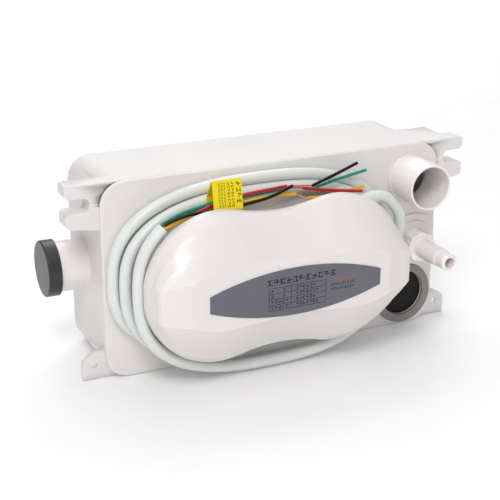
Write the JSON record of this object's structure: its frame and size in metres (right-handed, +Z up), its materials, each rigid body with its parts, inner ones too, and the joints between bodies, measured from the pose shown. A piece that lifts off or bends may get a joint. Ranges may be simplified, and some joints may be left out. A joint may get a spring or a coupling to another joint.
{
  "type": "condensate pump",
  "caption": "Wall-hung condensate pump: shallow reservoir with a front inlet and barbed outlet, a waisted motor cover over a wound cable, and a capped side spout.",
  "frame": {"origin": "middle of the reservoir's base, half way between the panel's face and the back wall", "axes": "+X along the reservoir, towards the inlet and outlet side; +Y towards the wall behind; +Z up"},
  "size_m": [0.2955, 0.1315, 0.136],
  "materials": {
    "shell_plastic": "satin",
    "ring_grey": "satin",
    "black_rubber": "satin",
    "label_grey": "satin",
    "cable_sheath": "satin",
    "core_green": "gloss",
    "core_black": "gloss",
    "core_yellow": "gloss",
    "core_red": "gloss",
    "copper": "bright",
    "flag_yellow": "satin",
    "motor_steel": "satin",
    "winding": "satin",
    "steel": "satin",
    "magnet": "satin",
    "pump_plastic": "satin",
    "valve_rubber": "satin",
    "float_foam": "matt",
    "board_green": "satin",
    "board_part": "satin",
    "capacitor_sleeve": "satin",
    "terminal_plastic": "satin"
  },
  "bodies": {
    "housing": {"board_screws": "steel", "cable_coil": "cable_sheath", "cable_gland": "cable_sheath", "cable_spool": "shell_plastic", "cable_tail": "cable_sheath", "capacitor": "capacitor_sleeve", "circuit_board": "board_green", "copper_windows": "copper", "discharge_pipe": "pump_plastic", "dome_cover": "shell_plastic", "float_clip": "steel", "float_stem": "pump_plastic", "front_bearing": "steel", "front_panel": "shell_plastic", "inlet_spout": "shell_plastic", "inlet_strainer": "pump_plastic", "label_plate": "label_grey", "motor_bracket": "motor_steel", "motor_can": "motor_steel", "motor_coils": "winding", "motor_screws": "steel", "outlet_fitting": "shell_plastic", "panel_gasket": "black_rubber", "port_ring": "ring_grey", "rear_bearing": "steel", "relay": "board_part", "shaft_seal": "black_rubber", "side_spout": "shell_plastic", "stator_core": "motor_steel", "suction_elbow": "pump_plastic", "tank_shell": "shell_plastic", "terminal_block": "terminal_plastic", "transformer": "board_part", "valve_housing": "pump_plastic", "volute": "pump_plastic", "volute_cover": "pump_plastic", "volute_screws": "steel", "wire_black": "core_black", "wire_flag": "flag_yellow", "wire_green": "core_green", "wire_red": "core_red", "wire_yellow": "core_yellow"},
    "rotor": {"rotor_shaft": "steel", "rotor_magnet": "magnet", "impeller": "pump_plastic"},
    "float": {"level_float": "float_foam"},
    "valve_poppet": {"check_valve": "valve_rubber"},
    "spout_cap": {"side_cap": "black_rubber"},
    "drain_plug": {"port_plug": "black_rubber"}
  },
  "joints": [
    {"name": "rotor_spin", "type": "hinge", "parent": "housing", "child": "rotor", "pos_m": [-0.055, -0.0365, 0.0675], "axis": [0, 1, 0], "continuous": true},
    {"name": "float_rise", "type": "slide", "parent": "housing", "child": "float", "axis": [0, 0, 1], "range_m": [0, 0.03]},
    {"name": "valve_lift", "type": "slide", "parent": "housing", "child": "valve_poppet", "axis": [0, -1, 0], "range_m": [0, 0.003]},
    {"name": "cap_pull", "type": "slide", "parent": "housing", "child": "spout_cap", "axis": [-1, 0, 0], "range_m": [0, 0.012]},
    {"name": "plug_pull", "type": "slide", "parent": "housing", "child": "drain_plug", "axis": [0, -1, 0], "range_m": [0, 0.012]}
  ]
}
